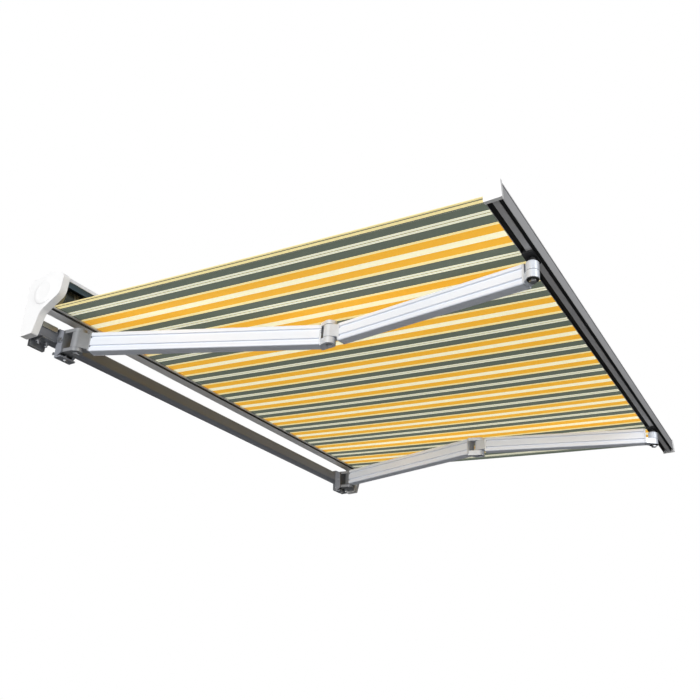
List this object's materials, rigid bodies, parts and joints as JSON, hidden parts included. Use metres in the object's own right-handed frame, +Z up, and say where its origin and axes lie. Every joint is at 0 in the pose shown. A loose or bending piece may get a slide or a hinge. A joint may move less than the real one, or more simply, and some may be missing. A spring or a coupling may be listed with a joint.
{
  "type": "folding arm awning",
  "caption": "Canvas awning with folding arms, held on the wall by a square torsion bar; striped cloth runs from a covered roller to a front profile.",
  "frame": {"origin": "on the wall plane, at the middle of the cloth and the height of the torsion bar's centre line", "axes": "+X along the head to the right seen from the room side, +Y into the wall, +Z up; the awning reaches out towards -Y"},
  "size_m": [1.9712, 1.5365, 0.3247],
  "materials": {
    "arm_coat": "light grey powder coat on aluminium extrusion",
    "profile_coat": "white powder coat on aluminium extrusion",
    "bar_coat": "grey powder coat on steel",
    "white_plastic": "white satin moulding",
    "dark_plastic": "black moulding",
    "cast_joint": "die cast, light grey",
    "zinc_steel": "zinc plated",
    "tube_steel": "galvanised",
    "striped_cloth": "woven awning canvas, striped yellow, grey-green and cream"
  },
  "bodies": {
    "root": {"torsion_bar": "bar_coat", "torsion_bar_plug_left": "dark_plastic", "torsion_bar_plug_right": "dark_plastic", "wall_bracket_left": "zinc_steel", "wall_bracket_right": "zinc_steel", "bar_clamp_left": "zinc_steel", "bar_clamp_right": "zinc_steel", "clamp_bolt_left_1": "zinc_steel", "clamp_bolt_left_2": "zinc_steel", "clamp_bolt_right_1": "zinc_steel", "clamp_bolt_right_2": "zinc_steel", "arm_bracket_left": "bar_coat", "arm_bracket_right": "bar_coat", "arm_carrier_left": "cast_joint", "arm_carrier_right": "cast_joint", "pitch_bolt_left": "zinc_steel", "pitch_bolt_right": "zinc_steel", "pitch_screw_left": "zinc_steel", "pitch_screw_right": "zinc_steel", "shoulder_pin_left": "zinc_steel", "shoulder_pin_right": "zinc_steel", "cassette_hood": "profile_coat", "lower_tray": "profile_coat", "end_cap_left": "white_plastic", "end_cap_right": "white_plastic", "bearing_cover_left": "white_plastic", "bearing_cover_right": "white_plastic", "tubular_motor": "tube_steel", "canopy_cloth": "striped_cloth"},
    "roller": {"roller_tube": "tube_steel", "fabric_roll": "striped_cloth", "idler_plug": "dark_plastic", "drive_wheel": "dark_plastic", "motor_crown": "dark_plastic"},
    "left_upper_arm": {"upper_arm_profile_left": "arm_coat", "shoulder_knuckle_left": "cast_joint", "elbow_fork_left": "cast_joint", "elbow_pin_left": "zinc_steel"},
    "left_forearm": {"forearm_profile_left": "arm_coat", "elbow_knuckle_left": "cast_joint", "front_knuckle_left": "cast_joint"},
    "front_bar": {"front_profile": "profile_coat", "front_cap_left": "white_plastic", "front_cap_right": "white_plastic", "front_bracket_left": "cast_joint", "front_bolt_left": "zinc_steel"},
    "right_upper_arm": {"upper_arm_profile_right": "arm_coat", "shoulder_knuckle_right": "cast_joint", "elbow_fork_right": "cast_joint", "elbow_pin_right": "zinc_steel"},
    "right_forearm": {"forearm_profile_right": "arm_coat", "elbow_knuckle_right": "cast_joint", "front_knuckle_right": "cast_joint"},
    "right_front_bracket": {"front_bracket_right": "cast_joint", "front_bolt_right": "zinc_steel"}
  },
  "joints": [
    {"name": "left_shoulder", "type": "hinge", "parent": "root", "child": "left_upper_arm", "pos_m": [-0.83, -0.116, -0.02], "axis": [0, -0.0715, 0.9974], "range_deg": [0, 70], "deforming": ["canopy_cloth"]},
    {"name": "left_elbow", "type": "hinge", "parent": "left_upper_arm", "child": "left_forearm", "pos_m": [-0.56807, -0.87208, -0.0742], "axis": [0, -0.0715, 0.9974], "range_deg": [-145.74, 0]},
    {"name": "left_front_pivot", "type": "hinge", "parent": "left_forearm", "child": "front_bar", "pos_m": [-0.67559, -1.51042, -0.11995], "axis": [0, -0.0715, 0.9974], "range_deg": [0, 75.74]},
    {"name": "right_shoulder", "type": "hinge", "parent": "root", "child": "right_upper_arm", "pos_m": [0.83, -0.116, -0.02], "axis": [0, 0.0715, -0.9974], "range_deg": [0, 70]},
    {"name": "right_elbow", "type": "hinge", "parent": "right_upper_arm", "child": "right_forearm", "pos_m": [0.56807, -0.87208, -0.0742], "axis": [0, 0.0715, -0.9974], "range_deg": [-145.74, 0]},
    {"name": "right_front_pivot", "type": "hinge", "parent": "right_forearm", "child": "right_front_bracket", "pos_m": [0.67559, -1.51042, -0.11995], "axis": [0, 0.0715, -0.9974], "range_deg": [0, 75.74]},
    {"name": "roller_spin", "type": "hinge", "parent": "root", "child": "roller", "pos_m": [0, -0.08, 0.106], "axis": [1, 0, 0], "range_deg": [0, 1940.93]}
  ],
  "couplings": [
    {"joint": "left_elbow", "follows": "left_shoulder", "ratio": -2.082},
    {"joint": "left_front_pivot", "follows": "left_shoulder", "ratio": 1.082},
    {"joint": "right_shoulder", "follows": "left_shoulder", "ratio": 1},
    {"joint": "right_elbow", "follows": "left_shoulder", "ratio": -2.082},
    {"joint": "right_front_pivot", "follows": "left_shoulder", "ratio": 1.082},
    {"joint": "roller_spin", "follows": "left_shoulder", "ratio": 27.727}
  ]
}
